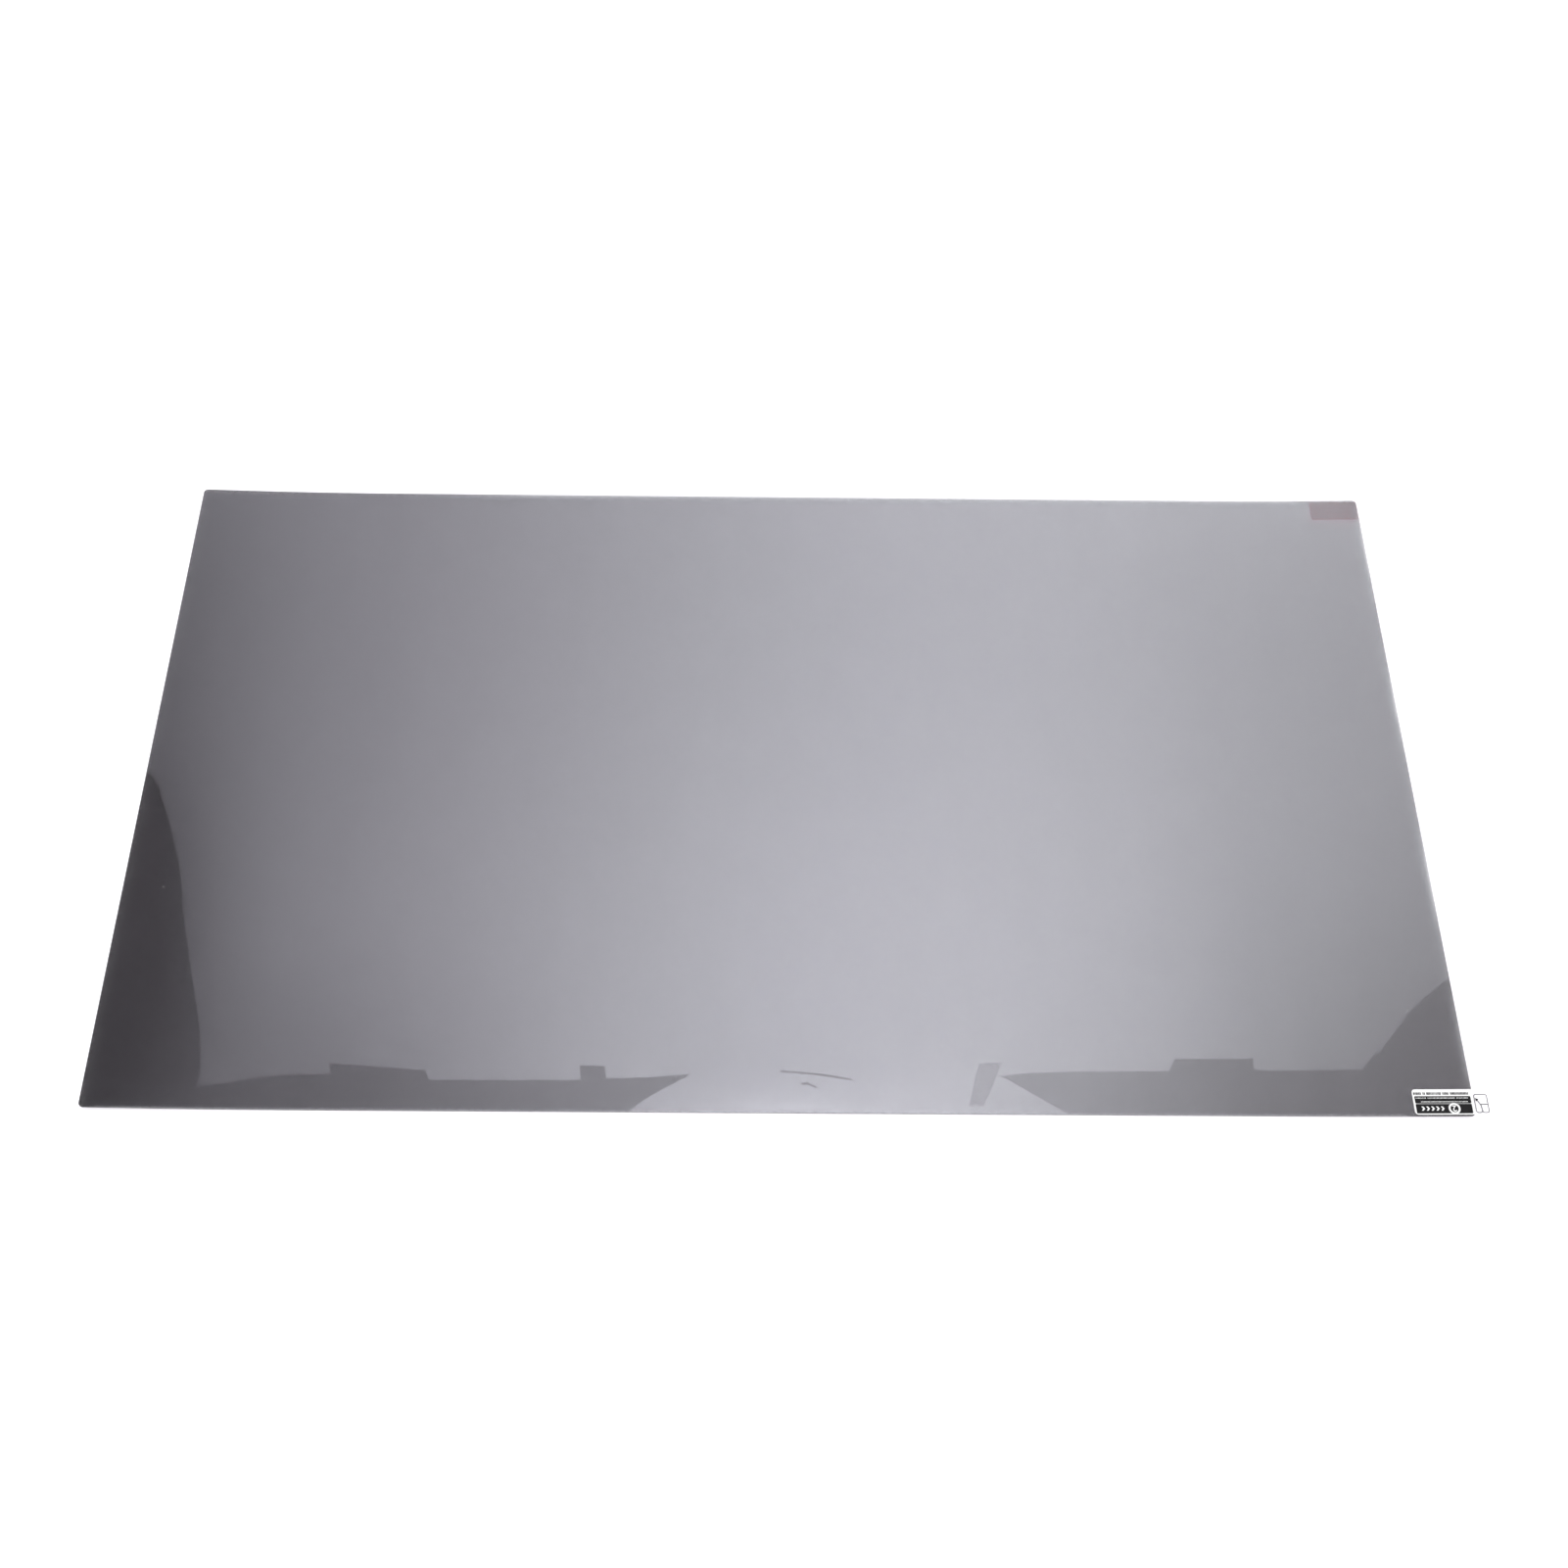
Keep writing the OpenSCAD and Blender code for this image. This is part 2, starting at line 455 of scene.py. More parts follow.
louvre_film = louvre_material()
front_film_clear = film_material("front_film_clear", FILM_SPECKS)
back_film_clear = film_material("back_film_clear", ())
tab_film = tab_film_material()
white_ground = ink_material("white_ground_ink", (0.90, 0.90, 0.91), (0.96, 0.96, 0.96), 0.32)
white_ink = ink_material("white_ink", (0.88, 0.88, 0.89), (0.94, 0.94, 0.94), 0.35)
black_ink = ink_material("black_ink", (0.012, 0.012, 0.013), (0.024, 0.023, 0.024), 0.3)
grey_ink = ink_material("grey_line_ink", (0.11, 0.11, 0.12), (0.19, 0.19, 0.20), 0.4)
red_ink = ink_material("red_ground_ink", (0.90, 0.06, 0.11), (0.97, 0.09, 0.15), 0.34)


# Mesh helpers, in millimetres

# Points closer than this are one point
MERGE = 0.0001


def corner_steps(radius, count=6):
    """Distances from an edge at which a rounded corner gets its points."""
    return [radius * (1 - math.cos(math.radians(90 * i / count))) for i in range(count + 1)]


def grid_lines(low, high, rim, step):
    """Lines across a plate: at the given distances from both rims, then evenly spaced."""
    inner_low = low + rim[-1]
    inner_high = high - rim[-1]
    count = max(1, round((inner_high - inner_low) / step))
    lines = {round(low + distance, 5) for distance in rim}
    lines |= {round(high - distance, 5) for distance in rim}
    lines |= {round(inner_low + (inner_high - inner_low) * i / count, 5) for i in range(count)}
    return sorted(lines)


def plate(bm, x_lines, y_lines, heights, left_r, right_r):
    """A closed flat plate on a grid, with one corner radius for each end."""
    def inset(y, radius):
        depth = min(y - y_lines[0], y_lines[-1] - y)
        if depth >= radius:
            return 0.0
        return radius - math.sqrt(radius ** 2 - (radius - depth) ** 2)

    sides = []
    for z in (heights[1], heights[0]):
        rows = []
        for y in y_lines:
            left = x_lines[0] + inset(y, left_r)
            right = x_lines[-1] - inset(y, right_r)
            rows.append([bm.verts.new((min(max(x, left), right), y, z)) for x in x_lines])
        sides.append(rows)
    top, base = sides
    last_x = len(x_lines) - 1
    last_y = len(y_lines) - 1
    for j in range(last_y):
        for i in range(last_x):
            bm.faces.new((top[j][i], top[j][i + 1], top[j + 1][i + 1], top[j + 1][i]))
            bm.faces.new((base[j][i], base[j + 1][i], base[j + 1][i + 1], base[j][i + 1]))
    rim = [(0, i) for i in range(last_x)]
    rim += [(j, last_x) for j in range(last_y)]
    rim += [(last_y, i) for i in range(last_x, 0, -1)]
    rim += [(j, 0) for j in range(last_y, 0, -1)]
    for (j, i), (next_j, next_i) in zip(rim, rim[1:] + rim[:1]):
        bm.faces.new((base[j][i], base[next_j][next_i], top[next_j][next_i], top[j][i]))
    bmesh.ops.remove_doubles(bm, verts=bm.verts, dist=MERGE)


def prism(bm, outline, heights):
    """A closed flat solid on an outline that runs anticlockwise."""
    base = [bm.verts.new((x, y, heights[0])) for x, y in outline]
    top = [bm.verts.new((x, y, heights[1])) for x, y in outline]
    bm.faces.new(top)
    bm.faces.new(base[::-1])
    for i, j in zip(range(len(outline)), [*range(1, len(outline)), 0]):
        bm.faces.new((base[i], base[j], top[j], top[i]))


def ring(bm, centre, inner_r, outer_r, heights, steps=48):
    """A closed flat ring."""
    loops = []
    for radius, z in ((inner_r, heights[1]), (outer_r, heights[1]),
                      (outer_r, heights[0]), (inner_r, heights[0])):
        angles = [2 * math.pi * i / steps for i in range(steps)]
        loops.append([bm.verts.new((centre[0] + radius * math.cos(a),
                                    centre[1] + radius * math.sin(a), z)) for a in angles])
    for first, second in zip(loops, loops[1:] + loops[:1]):
        for i in range(steps):
            j = (i + 1) % steps
            bm.faces.new((first[i], second[i], second[j], first[j]))


def ribbon(bm, points, width, heights):
    """A closed flat line of even width along points, mitred at its bends."""
    half = width / 2
    left, right = [], []
    for i, point in enumerate(points):
        before = Vector(point) - Vector(points[max(i - 1, 0)])
        after = Vector(points[min(i + 1, len(points) - 1)]) - Vector(point)
        along = (before.normalized() + after.normalized()).normalized()
        facing = along.dot(after.normalized() if after.length else before.normalized())
        across = Vector((-along.y, along.x)) * half / max(facing, 0.5)
        left.append(Vector(point) + across)
        right.append(Vector(point) - across)
    base_l, base_r = ([bm.verts.new((*p, heights[0])) for p in side] for side in (left, right))
    top_l, top_r = ([bm.verts.new((*p, heights[1])) for p in side] for side in (left, right))
    for i in range(len(points) - 1):
        bm.faces.new((top_r[i], top_r[i + 1], top_l[i + 1], top_l[i]))
        bm.faces.new((base_l[i], base_l[i + 1], base_r[i + 1], base_r[i]))
        bm.faces.new((base_r[i], base_r[i + 1], top_r[i + 1], top_r[i]))
        bm.faces.new((top_l[i], top_l[i + 1], base_l[i + 1], base_l[i]))
    bm.faces.new((base_l[0], base_r[0], top_r[0], top_l[0]))
    bm.faces.new((base_r[-1], base_l[-1], top_l[-1], top_r[-1]))


def arc(centre, radius, start, end, steps=5):
    """Points on an arc, with its angles in degrees."""
    angles = [math.radians(start + (end - start) * i / steps) for i in range(steps + 1)]
    return [(centre[0] + radius * math.cos(a), centre[1] + radius * math.sin(a)) for a in angles]


def bent_piece(name, bm, material, tree=None, values=None, stands_for=None):
    """Scales a flat mesh to metres, runs it through a tree and keeps the result as a piece."""
    crease = math.radians(CREASE_ANGLE)
    bm.normal_update()
    for face in bm.faces:
        face.smooth = True
    for edge in bm.edges:
        edge.smooth = len(edge.link_faces) == 2 and edge.calc_face_angle(0) < crease
    bmesh.ops.scale(bm, vec=(MM, MM, MM), verts=bm.verts)
    flat = bpy.data.meshes.new(name + "_flat")
    bm.to_mesh(flat)
    bm.free()
    flat.materials.append(material)
    draft = bpy.data.objects.new(name + "_flat", flat)
    bpy.context.scene.collection.objects.link(draft)
    modifier = draft.modifiers.new("bend", "NODES")
    modifier.node_group = tree or layer_tree
    given = {"Material": material, **CURL, **(values or {})}
    for item in modifier.node_group.interface.items_tree:
        if item.item_type == "SOCKET" and item.in_out == "INPUT" and item.name in given:
            modifier[item.identifier] = given[item.name]
    bpy.context.view_layer.update()
    evaluated = draft.evaluated_get(bpy.context.evaluated_depsgraph_get())
    mesh = bpy.data.meshes.new_from_object(evaluated)
    mesh.name = name
    bpy.data.objects.remove(draft)
    piece = bpy.data.objects.new(name, mesh)
    bpy.context.scene.collection.objects.link(piece)
    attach(piece, "root")
    if stands_for:
        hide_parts(stands_for)
    return piece


# The sheet and its two films

# Grid of all three: distances of its first lines from the edges, and spacing from there
SHEET_RIM = sorted({*corner_steps(CORNER_R), 2.6, 4.0, 6.0})
SHEET_STEP = (3.0, 6.0)
SHEET_X = grid_lines(SHEET_LOW.x, SHEET_HIGH.x, SHEET_RIM, SHEET_STEP[0])
SHEET_Y = grid_lines(SHEET_LOW.y, SHEET_HIGH.y, SHEET_RIM, SHEET_STEP[1])


def build_sheet():
    """The louvre sheet, with its cut edges marked for the material."""
    bm = bmesh.new()
    plate(bm, SHEET_X, SHEET_Y, SHEET_Z, CORNER_R, CORNER_R)
    bm.normal_update()
    mark = bm.faces.layers.float.new("cut")
    for face in bm.faces:
        face[mark] = 1.0 if abs(face.normal.z) < 0.5 else 0.0
    return bent_piece("louvre_sheet", bm, louvre_film, stands_for="filter_sheet")


# Lift of the front film's rim: height and width in mm along each edge
RIM_RIGHT = (0.14, 3.6)
RIM_TOP = (0.15, 4.0)
RIM_BOTTOM = (0.08, 1.2)
# Width in mm at the left edge, the highest point of the curl, where the film lies flat
RIM_FLAT_LEFT = 15.0
LIFT_MAX = 0.15
# Spacing in mm of the ripples along the right edge, and the place of one crest
RIPPLE_PITCH = 84.0
RIPPLE_CREST = 120.0
# Where each lift sets in, as a first place and the distance in mm to its full height:
# the top rim from the left and from the right, and the ripples from below
TOP_FROM_LEFT = (-175.0, 60.0)
TOP_FROM_RIGHT = (245.0, 12.0)
RIPPLE_FROM_BELOW = (-150.0, 60.0)
# Margin in mm round the front tab in which the film lies flat
TAB_MARGIN = 2.0


def rim_lift(x, y):
    """How far the front film's rim stands off the sheet at a point, in mm."""
    def fade(distance, width):
        return max(0.0, 1.0 - distance / width) ** 2

    def onset(distance, length):
        return min(max(distance / length, 0.0), 1.0)

    ripple = 0.5 + 0.5 * math.cos(2 * math.pi * (y - RIPPLE_CREST) / RIPPLE_PITCH)
    ripple *= onset(y - RIPPLE_FROM_BELOW[0], RIPPLE_FROM_BELOW[1])
    from_top = SHEET_HIGH.y - y
    from_bottom = y - SHEET_LOW.y
    from_left = x - SHEET_LOW.x
    from_right = SHEET_HIGH.x - x
    top_start = onset(x - TOP_FROM_LEFT[0], TOP_FROM_LEFT[1])
    top_end = onset(TOP_FROM_RIGHT[0] - x, TOP_FROM_RIGHT[1])
    lift = max(
        RIM_RIGHT[0] * ripple * fade(from_right, RIM_RIGHT[1]),
        RIM_TOP[0] * top_start * top_end * fade(from_top, RIM_TOP[1]),
        RIM_BOTTOM[0] * fade(from_bottom, RIM_BOTTOM[1]),
    ) * min(from_left / RIM_FLAT_LEFT, 1.0)
    under_tab = x > FRONT_TAB_LOW.x - TAB_MARGIN and y < FRONT_TAB_HIGH.y + TAB_MARGIN
    return 0.0 if under_tab else lift


def build_front_film():
    """The film on the viewer's side, with the lift of its rim marked for the material, which
    paints a highlight there.
    """
    bm = bmesh.new()
    plate(bm, SHEET_X, SHEET_Y, FRONT_FILM_Z, CORNER_R, CORNER_R)
    mark = bm.verts.layers.float.new("lift")
    for vert in bm.verts:
        lift = rim_lift(vert.co.x, vert.co.y)
        vert.co.z += lift
        vert[mark] = lift / LIFT_MAX
    return bent_piece(
        "front_clear_film", bm, front_film_clear, stands_for="front_film")


def build_back_film():
    """The film on the screen side."""
    bm = bmesh.new()
    plate(bm, SHEET_X, SHEET_Y, BACK_FILM_Z, CORNER_R, CORNER_R)
    return bent_piece("back_clear_film", bm, back_film_clear, stands_for="back_film")


# The pull tabs

# Spacing in mm of the grid of a tab and its print, along X and along Y
TAB_STEP = (1.5, 3.0)


def tab_plate(bm, low, high, heights, left_r, right_r):
    """A tab or a coat of ink, close enough divided along X to follow the curl."""
    rim = corner_steps(max(left_r, right_r))
    x_lines = grid_lines(low[0], high[0], rim, TAB_STEP[0])
    y_lines = grid_lines(low[1], high[1], rim, TAB_STEP[1])
    plate(bm, x_lines, y_lines, heights, left_r, right_r)


def build_tab(name, low, high, heights, node):
    """The clear strip of a pull tab."""
    bm = bmesh.new()
    tab_plate(bm, low, high, heights, LABEL_R, GRIP_R)
    return bent_piece(name, bm, tab_film, stands_for=node)


# Gap in mm between a tab's outline and the edge of its printed ground
PRINT_INSET = 0.05


def build_label_ground(name, low, high, heights, material):
    """The printed ground of a tab, from its inner end to the sheet's edge."""
    bm = bmesh.new()
    ground_low = (low.x + PRINT_INSET, low.y + PRINT_INSET)
    ground_high = (SHEET_HIGH.x, high.y - PRINT_INSET)
    tab_plate(bm, ground_low, ground_high, heights, LABEL_R, GROUND_R)
    return bent_piece(name, bm, material)


# Printing on the front tab, in mm from the tab's lower left corner

def on_tab(x, y):
    """A point on the front tab, in the sheet's millimetres."""
    return (FRONT_TAB_LOW.x + x, FRONT_TAB_LOW.y + y)


# Lower left and upper right corner of each black band
BANDS = (((0.75, 4.5), (22.1, 7.45)), ((0.75, 0.5), (22.1, 4.35)))
RING_CENTRE = (15.3, 2.48)
# Inner and outer radius
RING_R = (1.5, 2.25)


def build_bands():
    """The two black bands of the label."""
    bm = bmesh.new()
    for low, high in BANDS:
        tab_plate(bm, on_tab(*low), on_tab(*high), print_z(1), BAND_R, BAND_R)
    return bent_piece("label_bands", bm, black_ink)


def build_ring():
    """The white ring on the lower band."""
    bm = bmesh.new()
    ring(bm, on_tab(*RING_CENTRE), RING_R[0], RING_R[1], print_z(2))
    return bent_piece("label_ring", bm, white_ink)


def build_numeral():
    """The numeral in the ring, which is read from the tab's grip end."""
    curve = bpy.data.curves.new("numeral", "FONT")
    curve.body = "2"
    curve.size = 3.4
    curve.align_x = "CENTER"
    curve.align_y = "CENTER"
    curve.extrude = INK / 2
    curve.offset = 0.06
    text = bpy.data.objects.new("numeral_text", curve)
    bpy.context.scene.collection.objects.link(text)
    bpy.context.view_layer.update()
    drawn = text.evaluated_get(bpy.context.evaluated_depsgraph_get())
    mesh = bpy.data.meshes.new_from_object(drawn)
    bpy.data.objects.remove(text)
    bm = bmesh.new()
    bm.from_mesh(mesh)
    bmesh.ops.remove_doubles(bm, verts=bm.verts, dist=MERGE)
    centre = on_tab(*RING_CENTRE)
    low = Vector((min(v.co.x for v in bm.verts), min(v.co.y for v in bm.verts), 0))
    high = Vector((max(v.co.x for v in bm.verts), max(v.co.y for v in bm.verts), 0))
    bmesh.ops.translate(bm, vec=-(low + high) / 2, verts=bm.verts)
    bmesh.ops.rotate(bm, matrix=Euler((0, 0, math.pi)).to_matrix(), verts=bm.verts)
    bmesh.ops.translate(bm, vec=(centre[0], centre[1], sum(print_z(2)) / 2), verts=bm.verts)
    return bent_piece("label_numeral", bm, white_ink)


# Chevrons that point to the grip
CHEVRON = ((0.0, 0.85), (0.7, 0.85), (1.35, 0.0), (0.7, -0.85), (0.0, -0.85), (0.6, 0.0))
CHEVRON_START = (2.75, 2.48)
CHEVRON_STEP = 1.85
CHEVRON_COUNT = 5


def row_values(start, step, count, gap_share=0.0, width_spread=0.0, seed=1):
    """Inputs of the row tree, with its start and step in metres."""
    x, y = on_tab(*start)
    return {"Count": count, "Start": (x * MM, y * MM, 0.0), "Step": (step * MM, 0.0, 0.0),
            "Gap Share": gap_share, "Width Spread": width_spread, "Seed": seed}


def build_chevrons():
    """The chevrons on the lower band, as one piece."""
    bm = bmesh.new()
    prism(bm, CHEVRON[::-1], print_z(2))
    values = row_values(CHEVRON_START, CHEVRON_STEP, CHEVRON_COUNT)
    return bent_piece("label_chevrons", bm, white_ink, row_tree, values)


# Spacing of the marks in a fine row, the share left out, and how their width varies
FINE_PITCH = 0.5
FINE_GAPS = 0.1
FINE_SPREAD = 0.3


def build_fine_row(name, start, length, mark, coat, material, seed):
    """A row of tiny printed marks."""
    bm = bmesh.new()
    half_x, half_y = mark[0] / 2, mark[1] / 2
    outline = ((-half_x, -half_y), (half_x, -half_y), (half_x, half_y), (-half_x, half_y))
    prism(bm, outline, print_z(coat))
    count = round(length / FINE_PITCH)
    values = row_values(start, FINE_PITCH, count, FINE_GAPS, FINE_SPREAD, seed)
    return bent_piece(name, bm, material, row_tree, values)


# Rows of fine marks: name, start, length, size of a mark, coat, ink and seed
FINE_ROWS = (
    ("label_row_dark", (0.8, 8.5), 21.3, (0.36, 1.0), 1, black_ink, 4),
    ("label_row_upper", (1.4, 6.7), 20.1, (0.3, 0.38), 2, white_ink, 9),
    ("label_row_lower", (2.7, 5.2), 18.8, (0.32, 0.34), 2, white_ink, 11),
)

# Peel drawing on the clear grip, in mm from the tab's lower left corner
GRIP_OUTLINE_W = 0.34
GRIP_LINE_W = 0.42
GRIP_OUTLINE = (
    arc((24.2, 7.3), 0.8, 180, 90) + arc((27.45, 7.3), 0.8, 90, 0) + [(28.25, 4.05)]
    + arc((27.45, 1.6), 0.8, 0, -90) + arc((26.45, 1.6), 0.8, -90, -165)
    + arc((24.85, 1.6), 0.8, -15, -90) + arc((24.2, 1.6), 0.8, -90, -180) + [(23.4, 7.3)]
)
GRIP_LINES = (
    [(25.5, 4.05), (28.25, 4.05)],
    [(25.8, 1.2), (25.5, 3.8), (24.4, 5.7)],
)
GRIP_ARROW = ((23.6, 6.7), (23.95, 5.3), (25.0, 6.1))


def build_grip_drawing():
    """The outline and the fold lines on the grip."""
    bm = bmesh.new()
    ribbon(bm, [on_tab(*point) for point in GRIP_OUTLINE], GRIP_OUTLINE_W, print_z(1))
    for points in GRIP_LINES:
        ribbon(bm, [on_tab(*point) for point in points], GRIP_LINE_W, print_z(1))
    return bent_piece("grip_drawing", bm, grey_ink)


def build_grip_arrow():
    """The arrow head at the end of the fold line."""
    bm = bmesh.new()
    prism(bm, [on_tab(*point) for point in GRIP_ARROW], print_z(2))
    return bent_piece("grip_arrow", bm, black_ink)


build_sheet()
build_front_film()
build_back_film()
build_tab("front_pull_tab", FRONT_TAB_LOW, FRONT_TAB_HIGH, FRONT_TAB_Z, "front_tab")
build_tab("back_pull_tab", BACK_TAB_LOW, BACK_TAB_HIGH, BACK_TAB_Z, "back_tab")
build_label_ground(
    "white_label_ground", FRONT_TAB_LOW, FRONT_TAB_HIGH, print_z(0), white_ground)
build_label_ground(
    "red_label_ground", BACK_TAB_LOW, BACK_TAB_HIGH, RED_PRINT_Z, red_ink)
build_bands()
build_ring()
build_numeral()
build_chevrons()
for fine_row in FINE_ROWS:
    build_fine_row(*fine_row)
build_grip_drawing()
build_grip_arrow()


# Stage: floor, lamps, world and camera

def link_mesh(name, points, material):
    """A flat one-sided stage object from its outline."""
    mesh = bpy.data.meshes.new(name)
    mesh.from_pydata(points, [], [tuple(range(len(points)))])
    mesh.materials.append(material)
    stage_object = bpy.data.objects.new(name, mesh)
    bpy.context.scene.collection.objects.link(stage_object)
    return stage_object


# Glow of the floor and its tint, which only show through the sheet: elsewhere it is full white
FLOOR_GLOW = 0.30
FLOOR_TINT = (1.0, 0.91, 1.06, 1)
# Half the floor's width in metres, and its height just below the object in mm
FLOOR_REACH = 8.0
FLOOR_Z = -0.05


def build_floor():
    """A white table top. Only the camera sees it, and from below it isn't there."""
    material = bpy.data.materials.new("white_floor")
    material.use_nodes = True
    tree = material.node_tree
    tree.nodes.clear()
    paint = add(tree, "ShaderNodeBsdfDiffuse", {"Color": (0.97, 0.97, 0.97, 1)})
    camera_ray = add(tree, "ShaderNodeLightPath").outputs["Is Camera Ray"]
    seen = math_node(tree, "MULTIPLY", camera_ray, FLOOR_GLOW)
    glow = add(tree, "ShaderNodeEmission", {"Color": FLOOR_TINT, "Strength": seen})
    white = add(tree, "ShaderNodeAddShader", {0: paint.outputs[0], 1: glow.outputs[0]})
    clear = add(tree, "ShaderNodeBsdfTransparent")
    facing = add(tree, "ShaderNodeNewGeometry").outputs["Backfacing"]
    mixed = add(tree, "ShaderNodeMixShader",
                {0: facing, 1: white.outputs[0], 2: clear.outputs[0]})
    add(tree, "ShaderNodeOutputMaterial", {"Surface": mixed.outputs[0]})
    corners = ((-1, -1), (1, -1), (1, 1), (-1, 1))
    points = [(x * FLOOR_REACH, y * FLOOR_REACH, FLOOR_Z * MM) for x, y in corners]
    floor = link_mesh("floor", points, material)
    floor.visible_diffuse = False
    floor.visible_glossy = False
    floor.visible_transmission = False
    floor.visible_shadow = False


# Height in metres of the overhead lamp that the sheet mirrors
LAMP_Z = 1.2
# Soft patches of light on it, and of shade at its ends, where the strength is negative:
# (centre x, centre y), (spread x, spread y), strength
LAMP_PATCHES = (
    ((0.24, 0.295), (0.68, 0.82), 3.37),
    ((0.84, 2.0), (1.25, 0.85), 6.0),
    ((0.01, 0.297), (0.1, 0.025), 1.03),
    ((0.17, 0.2), (0.075, 0.1), 1.5),
    ((-0.67, 0.46), (0.11, 0.76), -0.9),
    ((-0.67, 0.47), (0.09, 0.18), -1.0),
    ((-0.45, 0.32), (0.2, 0.14), -0.5),
    ((0.81, 0.9), (0.32, 0.68), -0.9),
    ((0.79, 0.105), (0.375, 0.395), -3.0),
)
# Its strength apart from the patches, and the least strength anywhere
LAMP_BASE = 0.53
LAMP_LEAST = 0.15
# Tint of its light at the left and at the right, and the places in X that they hold for
LAMP_TINTS = ((0.982, 0.97, 1.087, 1), (0.953, 0.972, 1.048, 1))
LAMP_TINT_X = (-0.6, 0.6)
LAMP_OUTLINE = ((-1.6, 0.18), (1.6, 0.18), (1.6, 2.2), (-1.6, 2.2))

# How far the cards hang below the lamp, in metres
CARD_DROP = 0.001
# The cards, which the gloss shows as darker areas. Each has its outlines, and the share of
# light that it lets through: from one (x, share) to another, along X.
LEFT_CARD = ((
    (-1.6, 0.3155), (-0.556, 0.3155), (-0.554, 0.330), (-0.556, 0.352), (-0.559, 0.381),
    (-0.564, 0.410), (-0.570, 0.442), (-0.581, 0.508), (-0.590, 0.572), (-0.602, 0.627),
    (-0.613, 0.673), (-0.626, 0.700), (-1.6, 0.700),
),)
LEFT_PASSES = ((-0.61, 0.06), (-0.56, 0.40))
# The lamp's near edge has steps and a slanting gap in it
NEAR_LEFT_CARD = ((
    (-1.6, 0.18), (-0.250, 0.18), (-0.146, 0.301), (-0.132, 0.312), (-0.113, 0.324),
    (-0.084, 0.3405), (-0.126, 0.336), (-0.176, 0.335), (-0.177, 0.349), (-0.204, 0.349),
    (-0.202, 0.333), (-0.316, 0.332), (-0.365, 0.332), (-0.368, 0.343), (-0.473, 0.350),
    (-0.469, 0.338), (-0.498, 0.336), (-0.521, 0.330), (-0.548, 0.319), (-0.556, 0.3155),
    (-1.6, 0.3155),
),)
NEAR_LEFT_PASSES = ((-0.62, 0.20), (-0.54, 0.52))
NEAR_RIGHT_CARD = ((
    (0.50, 0.18), (1.6, 0.18), (1.6, 0.60), (0.80, 0.60), (0.664, 0.448), (0.645, 0.426),
    (0.633, 0.410), (0.617, 0.381), (0.608, 0.364), (0.603, 0.361), (0.595, 0.345),
    (0.520, 0.349), (0.521, 0.362), (0.436, 0.361), (0.429, 0.347), (0.328, 0.346),
    (0.275, 0.344), (0.247, 0.340), (0.258, 0.334), (0.298, 0.309), (0.310, 0.302),
),)
NEAR_RIGHT_PASSES = ((0.32, 0.64), (0.645, 0.40))
# A small block, a thin bowed strip and a short stroke in the gap
SMALL_CARDS = (
    ((0.211, 0.306), (0.227, 0.306), (0.250, 0.3565), (0.2245, 0.3545)),
    ((0.010, 0.343), (0.040, 0.3408), (0.067, 0.3376), (0.088, 0.334), (0.088, 0.3362),
     (0.067, 0.3402), (0.040, 0.3434), (0.010, 0.345)),
    ((0.032, 0.329), (0.040, 0.329), (0.048, 0.3252), (0.052, 0.3255), (0.040, 0.332),
     (0.031, 0.331)),
)
SMALL_PASSES = ((0.05, 0.60), (0.21, 0.79))


def build_patch_group():
    """A soft patch of light: one at its centre, and falling off like a bell curve."""
    tree, given, result = shader_group(
        "soft_patch", [("Centre", VECTOR, None), ("Spread", VECTOR, None)],
        [("Value", FLOAT, None)])
    apart = add(tree, "ShaderNodeVectorMath",
                {0: given.outputs["Vector"], 1: given.outputs["Centre"]}, operation="SUBTRACT")
    share = add(tree, "ShaderNodeVectorMath",
                {0: apart.outputs[0], 1: given.outputs["Spread"]}, operation="DIVIDE")
    square = add(tree, "ShaderNodeVectorMath", {0: share.outputs[0], 1: share.outputs[0]},
                 operation="DOT_PRODUCT")
    value = math_node(tree, "EXPONENT", math_node(tree, "MULTIPLY", square.outputs["Value"], -1.0))
    tree.links.new(value, result.inputs["Value"])
    return tree


def mirror_only(stage_object):
    """Only gloss shows this object: it lights nothing and the camera doesn't see it."""
    stage_object.visible_camera = False
    stage_object.visible_diffuse = False
    stage_object.visible_transmission = False
    stage_object.visible_shadow = False


def build_overhead_lamp():
    """The lamp that only the gloss shows."""
    patch_group = build_patch_group()
    material = bpy.data.materials.new("overhead_lamp")
    material.use_nodes = True
    tree = material.node_tree
    tree.nodes.clear()
    place = add(tree, "ShaderNodeTexCoord").outputs["Object"]
    strength = LAMP_BASE
    for centre, spread, power in LAMP_PATCHES:
        patch = place_group(tree, patch_group, place,
                            {"Centre": (*centre, LAMP_Z), "Spread": (*spread, 1.0)})
        strength = math_node(tree, "MULTIPLY_ADD", patch, power, strength)
    strength = math_node(tree, "MAXIMUM", strength, LAMP_LEAST)
    x = add(tree, "ShaderNodeSeparateXYZ", {0: place}).outputs["X"]
    across = add(tree, "ShaderNodeMapRange",
                 {"Value": x, "From Min": LAMP_TINT_X[0], "From Max": LAMP_TINT_X[1]}).outputs[0]
    tint = blend_colour(tree, across, *LAMP_TINTS)
    glow = add(tree, "ShaderNodeEmission", {"Color": tint, "Strength": strength})
    add(tree, "ShaderNodeOutputMaterial", {"Surface": glow.outputs[0]})
    mirror_only(link_mesh("overhead_lamp", [(x, y, LAMP_Z) for x, y in LAMP_OUTLINE], material))


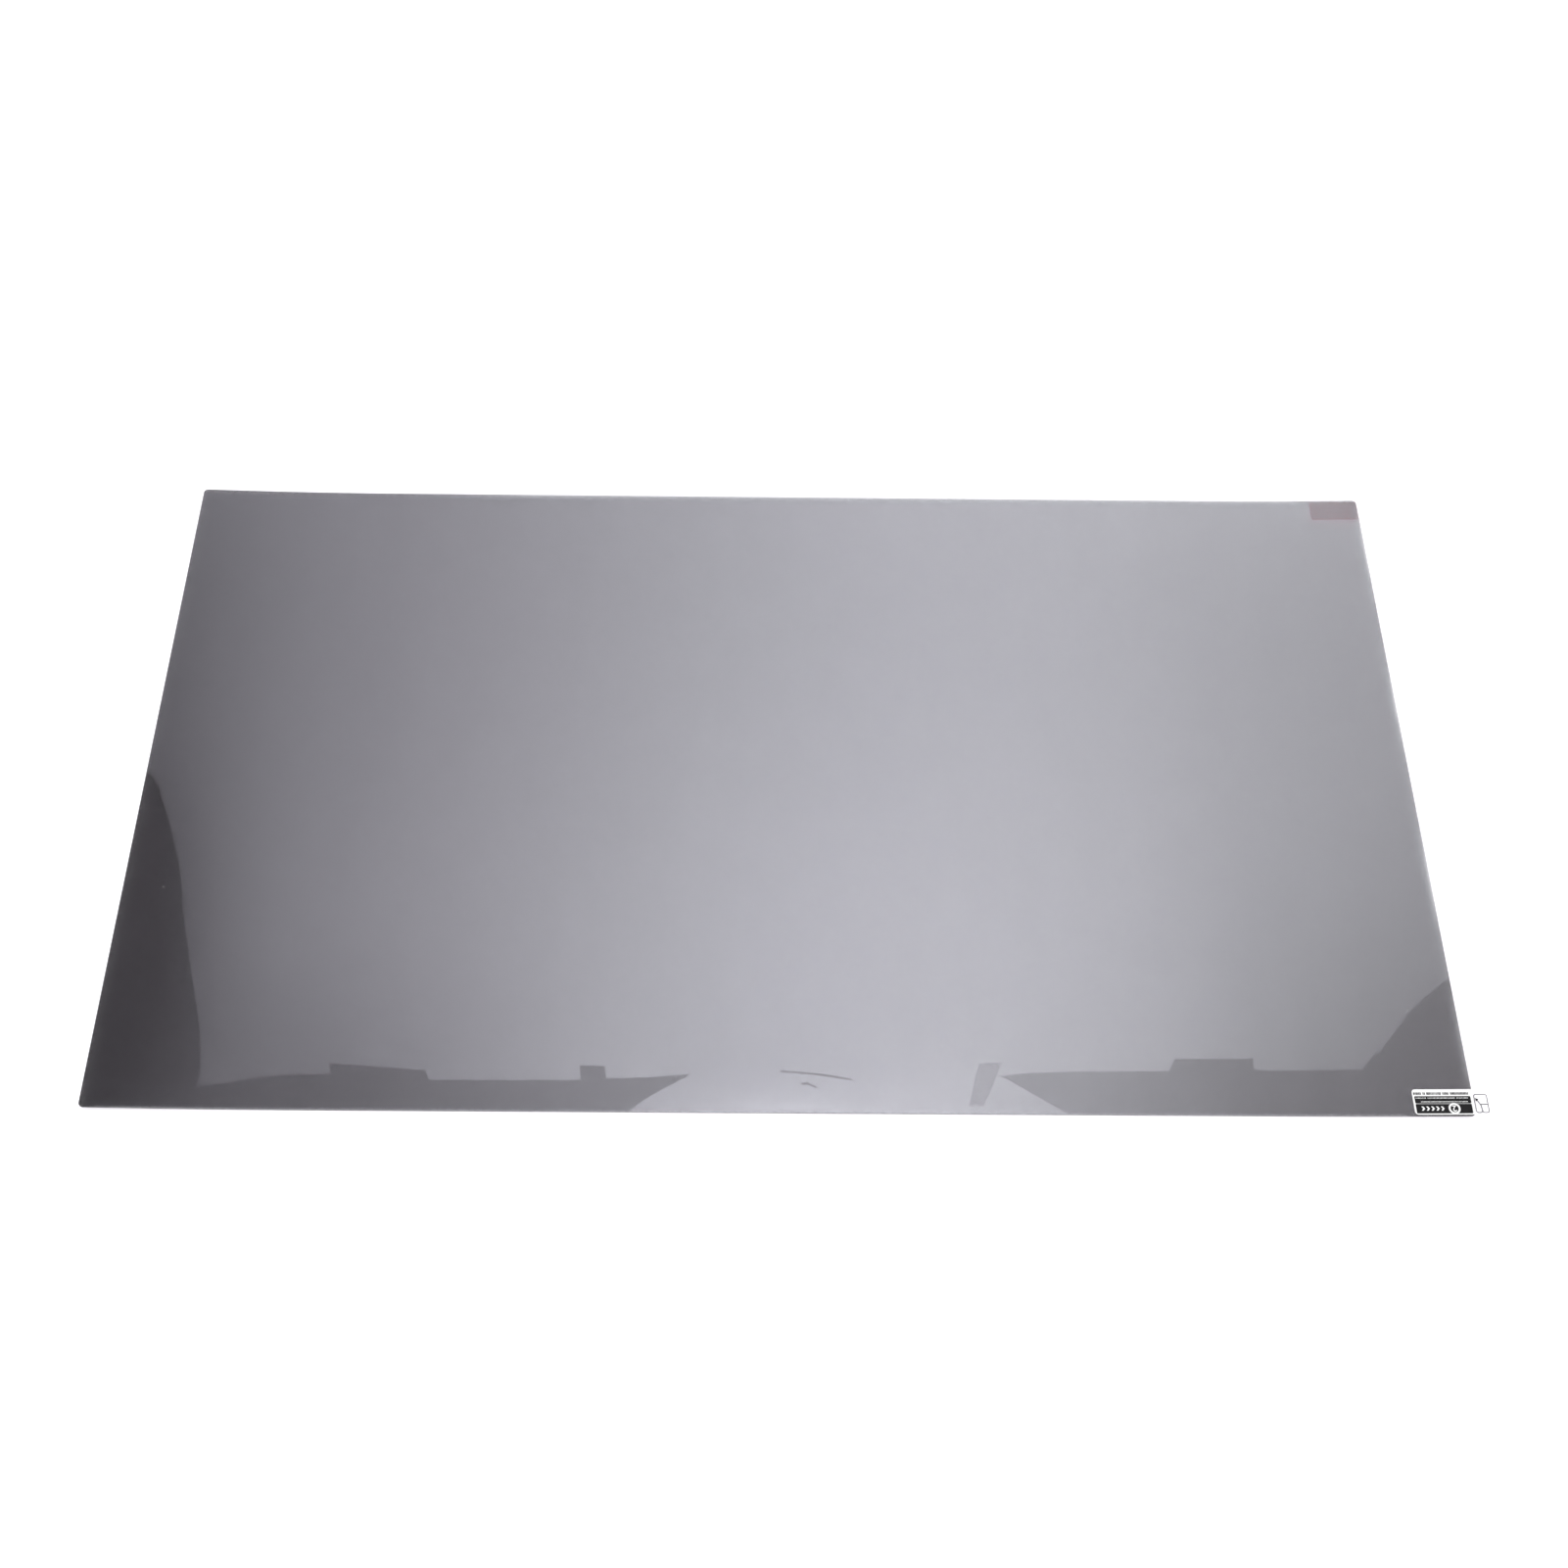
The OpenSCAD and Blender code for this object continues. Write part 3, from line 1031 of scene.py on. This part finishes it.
def build_cards(name, outlines, passes):
    """Cards just under the lamp, which let through a share of its light."""
    material = bpy.data.materials.new(name)
    material.use_nodes = True
    tree = material.node_tree
    tree.nodes.clear()
    place = add(tree, "ShaderNodeTexCoord").outputs["Object"]
    x = add(tree, "ShaderNodeSeparateXYZ", {0: place}).outputs["X"]
    (from_x, from_share), (to_x, to_share) = passes
    share = add(tree, "ShaderNodeMapRange",
                {"Value": x, "From Min": from_x, "From Max": to_x,
                 "To Min": from_share, "To Max": to_share}).outputs[0]
    veil = add(tree, "ShaderNodeBsdfTransparent", {"Color": share})
    add(tree, "ShaderNodeOutputMaterial", {"Surface": veil.outputs[0]})
    for number, outline in enumerate(outlines):
        points = [(x, y, LAMP_Z - CARD_DROP) for x, y in outline]
        mirror_only(link_mesh(f"{name}_{number}", points, material))


def build_lamp_light():
    """A large soft lamp that gives the object and the floor their gentle shadow."""
    light = bpy.data.lights.new("soft_light", "AREA")
    light.shape = "DISK"
    light.size = 2.6
    light.energy = 13.0
    lamp = bpy.data.objects.new("soft_light", light)
    lamp.location = (-0.3, -0.5, 3.0)
    lamp.rotation_euler = (Vector((0, 0, 0)) - lamp.location).to_track_quat("-Z", "Y").to_euler()
    lamp.visible_glossy = False
    bpy.context.scene.collection.objects.link(lamp)


def build_world():
    """White all round."""
    world = bpy.data.worlds.new("white_room")
    bpy.context.scene.world = world
    world.use_nodes = True
    tree = world.node_tree
    tree.nodes.clear()
    background = add(tree, "ShaderNodeBackground", {"Color": (1, 1, 1, 1), "Strength": 1.0})
    add(tree, "ShaderNodeOutputWorld", {"Surface": background.outputs[0]})


def build_camera():
    """The photo's camera, from the fit to the sheet's corners."""
    camera = bpy.data.cameras.new("camera")
    camera.sensor_width = 36.0
    camera.lens = 42.577
    camera.clip_start = 0.01
    camera.clip_end = 100.0
    holder = bpy.data.objects.new("camera", camera)
    holder.location = (-5.70 * MM, -399.661 * MM, 671.731 * MM)
    holder.rotation_euler = [math.radians(angle) for angle in (30.4978, -0.6763, 0.1240)]
    bpy.context.scene.collection.objects.link(holder)
    bpy.context.scene.camera = holder


build_floor()
build_overhead_lamp()
build_cards("left_card", LEFT_CARD, LEFT_PASSES)
build_cards("near_left_card", NEAR_LEFT_CARD, NEAR_LEFT_PASSES)
build_cards("near_right_card", NEAR_RIGHT_CARD, NEAR_RIGHT_PASSES)
build_cards("small_card", SMALL_CARDS, SMALL_PASSES)
build_lamp_light()
build_world()
build_camera()

bpy.context.scene.view_settings.view_transform = "Standard"
# Enough for light to cross all the clear layers twice
bpy.context.scene.cycles.transparent_max_bounces = 24
